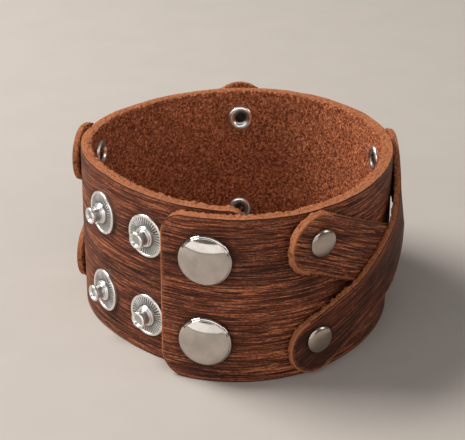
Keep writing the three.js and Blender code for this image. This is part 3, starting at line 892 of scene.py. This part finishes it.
# Rows of a profile are radius, out and round. The back's tube reaches through all the leather.
rivetShape = {
    "capRadius": 3.1,
    "capHeight": 0.92,
    "capPower": 0.8,
    "capEdge": 0.2,
    "capSkirt": ((3.1, -0.05, 0.08), (2.9, -0.35, 0.1), (0.75, -0.4), (0.75, -3.4), (0, -3.4)),
    "capSides": 72,
    "back": ((0, 3.2), (1.5, 3.2), (1.5, 0.3), (3.0, 0.25), (3.1, -0.2, 0.15), (3.02, -0.55, 0.25),
             (2.5, -0.88, 0.3), (2.0, -0.76, 0.3), (1.55, -0.34, 0.25), (1.2, -0.22, 0.1),
             (0, -0.2)),
    "backSides": 64,
    "backOut": 2.0,
    "grip": 4.65,
}


def rivetCapProfile():
    # Dome: radius sin t, height cos t to a power, over a short rolled edge and a stem
    t = np.linspace(0, math.pi / 2, 24)
    radius = rivetShape["capRadius"] * np.sin(t)
    dome = rivetShape["capEdge"] + rivetShape["capHeight"] * np.cos(t) ** rivetShape["capPower"]
    skirt = softened([(radius[-1], rivetShape["capEdge"]), *rivetShape["capSkirt"]])
    return np.concatenate([np.stack([radius, dome], -1), skirt[1:]])


def holeShade(radius, out, turn):
    # Painted shade: the funnel of a rivet's hollow back darkens towards its middle
    return (out + rivetShape["grip"] < 0) * (1 - smoothStep(radius, 1.1, 2.0))


domeProfile = rivetCapProfile()
funnelProfile = softened(rivetShape["back"]) - np.array([0, rivetShape["grip"]])
for line, rows in ((underLine, ("upper", "lower")), (overLine, ("lower", "upper"))):
    for index, (along, _, height) in enumerate(line):
        place = seat(along, height, float(strapOut(line, along, height)) + strap["leather"])
        name = str(index + 1) + "_" + rows[index % 2]
        turnedPiece("rivetCap_" + name, place, domeProfile, rivetShape["capSides"],
                    rivetNickel, ["rivet_cap_" + name])
        turnedPiece("rivetBack_" + name, seat(along, height, rivetShape["backOut"]), funnelProfile,
                    rivetShape["backSides"], backNickel, ["rivet_post_" + name],
                    None, holeShade)
print("snaps and rivets made")

# Floor, light and camera

studio = {
    "floorColour": (0.46, 0.42, 0.385),
    "floorShade": 0.97,
    "floorHalf": 3,
    "worldColour": (1.0, 0.98, 0.95),
    "worldStrength": 0.17,
    "lightsMeet": (0, 0, 0.02),
    # Name, place, size, power and colour
    "lights": (
        ("keyPanel", (-0.58, 0.20, 0.68), (0.50, 0.40), 11.5, (1.0, 0.97, 0.93)),
        ("frontLowPanel", (-0.35, -0.95, 0.17), (3.00, 0.30), 3.5, (1.0, 0.98, 0.96)),
        ("frontHighPanel", (-0.10, -0.80, 0.56), (1.60, 0.28), 3.2, (1.0, 0.98, 0.96)),
        ("sidePanel", (0.90, -0.25, 0.42), (0.30, 0.40), 1.2, (1.0, 0.97, 0.94)),
    ),
}

floorMaterial = bpy.data.materials.new("paleFloor")
add, noise, _, ramp, mix, _, _ = nodeTools(floorMaterial)
mottle = ramp(noise(add("ShaderNodeTexCoord").outputs["Object"], 60.0, 3.0), 0.3, 0.7)
tone = mix(mottle, studio["floorColour"],
           tuple(studio["floorShade"] * part for part in studio["floorColour"]))
shader = add("ShaderNodeBsdfPrincipled", {"Base Color": tone, "Roughness": 0.75})
add("ShaderNodeOutputMaterial", {"Surface": shader.outputs[0]})
half = studio["floorHalf"]
floorMesh = bpy.data.meshes.new("floor")
floorMesh.from_pydata([(-half, -half, 0), (half, -half, 0), (half, half, 0), (-half, half, 0)], [],
                      [(0, 1, 2, 3)])
floorMesh.materials.append(floorMaterial)
floor = bpy.data.objects.new("floor", floorMesh)
bpy.context.scene.collection.objects.link(floor)

bpy.context.scene.view_settings.view_transform = "Standard"
world = bpy.data.worlds.new("softRoom")
bpy.context.scene.world = world
world.use_nodes = True
background = world.node_tree.nodes["Background"]
background.inputs["Color"].default_value = (*studio["worldColour"], 1)
background.inputs["Strength"].default_value = studio["worldStrength"]

for name, position, size, power, colour in studio["lights"]:
    light = bpy.data.lights.new(name, "AREA")
    light.shape, light.size, light.size_y = "RECTANGLE", size[0], size[1]
    light.energy, light.color = power, colour
    panel = bpy.data.objects.new(name, light)
    panel.location = position
    aim = Vector(studio["lightsMeet"]) - Vector(position)
    panel.rotation_euler = aim.to_track_quat("-Z", "Y").to_euler()
    bpy.context.scene.collection.objects.link(panel)

# The camera that was fitted to the photo. Its place is in millimetres from the ring's centre, and
# its turns are about Z, X and its own axis.
view = {
    "lens": 112.08,
    "sensor": 36.0,
    "shift": (-0.0058, 0.0704),
    "near": 0.01,
    "place": (0.67, -298.68, 162.11),
    "turns": ((0.1, "Z"), (63.145, "X"), (0.42, "Z")),
}
lens = bpy.data.cameras.new("camera")
lens.lens, lens.sensor_width = view["lens"], view["sensor"]
lens.shift_x, lens.shift_y = view["shift"]
lens.clip_start = view["near"]
camera = bpy.data.objects.new("camera", lens)
camera.location = [(offset + centre) * mm for offset, centre in zip(view["place"], (*ringShift, 0))]
heading, tilt, roll = [Matrix.Rotation(math.radians(angle), 3, axis)
                       for angle, axis in view["turns"]]
camera.rotation_euler = (heading @ tilt @ roll).to_euler()
bpy.context.scene.collection.objects.link(camera)
bpy.context.scene.camera = camera
print("floor, light and camera placed")
